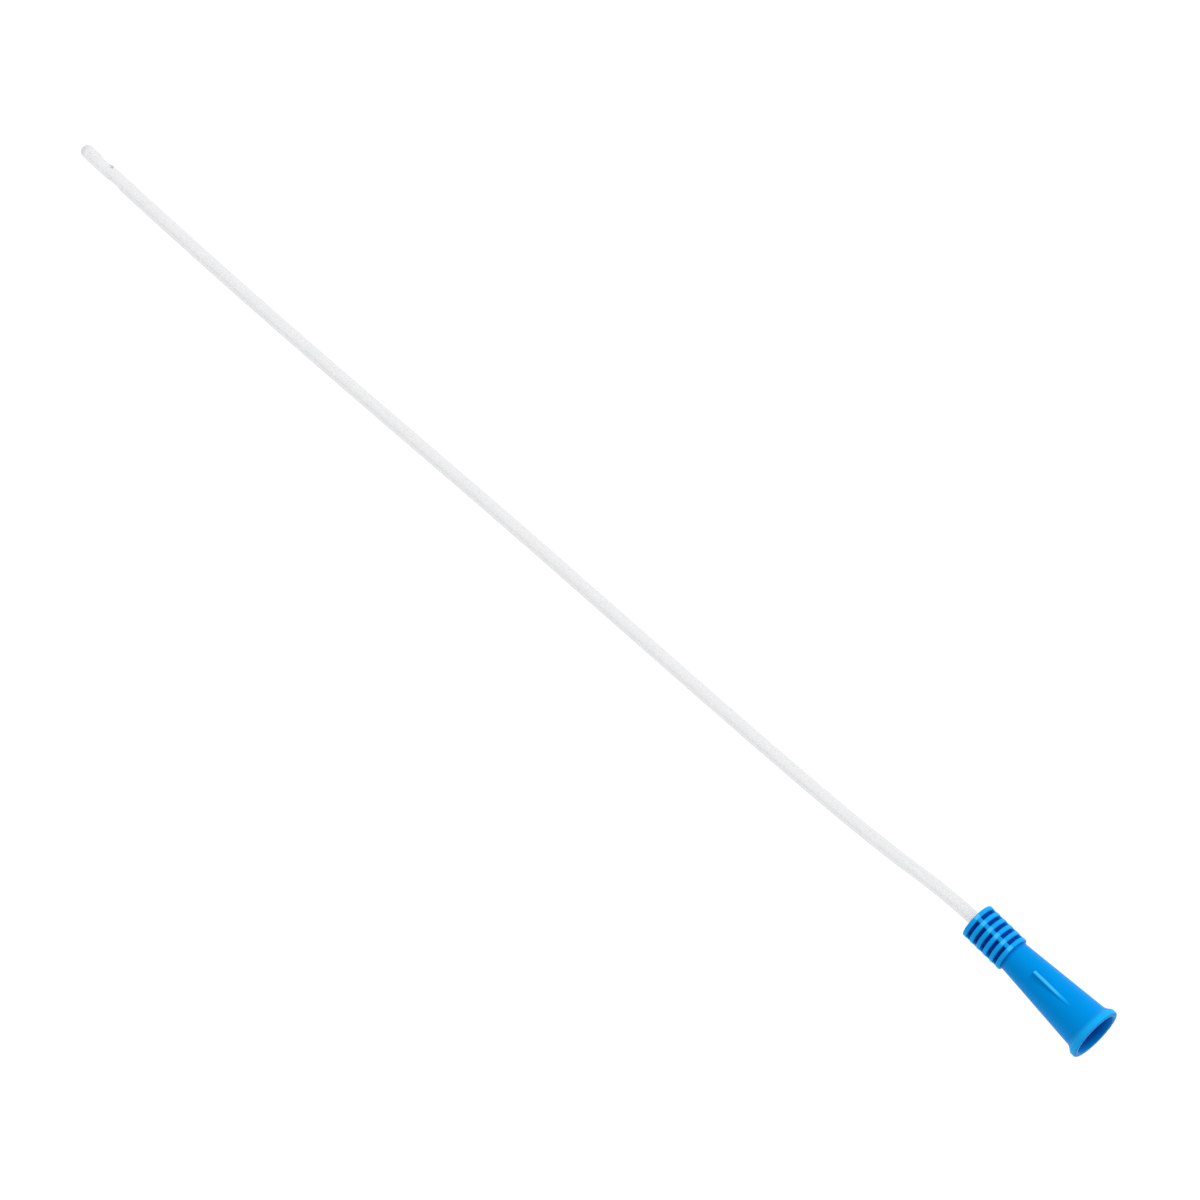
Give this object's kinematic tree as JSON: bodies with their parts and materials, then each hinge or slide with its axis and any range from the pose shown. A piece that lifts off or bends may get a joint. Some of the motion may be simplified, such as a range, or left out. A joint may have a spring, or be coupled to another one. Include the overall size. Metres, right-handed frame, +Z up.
{
  "type": "nelaton catheter",
  "caption": "Straight clear drainage catheter with a closed round tip, staggered side eyes and a blue flared funnel connector with a ribbed grip collar.",
  "frame": {"origin": "on the table under the middle of the funnel connector, as the catheter lies", "axes": "+X along the funnel connector towards its mouth, +Z up, and the shaft tube runs away towards -X"},
  "size_m": [0.2863, 0.0244, 0.0126],
  "materials": {
    "blue_moulding": "semi-gloss moulded PVC",
    "clear_pvc": "translucent, lightly frosted extruded PVC"
  },
  "bodies": {
    "root": {"funnel_connector": "blue_moulding", "shaft_tube": "clear_pvc"}
  },
  "joints": []
}
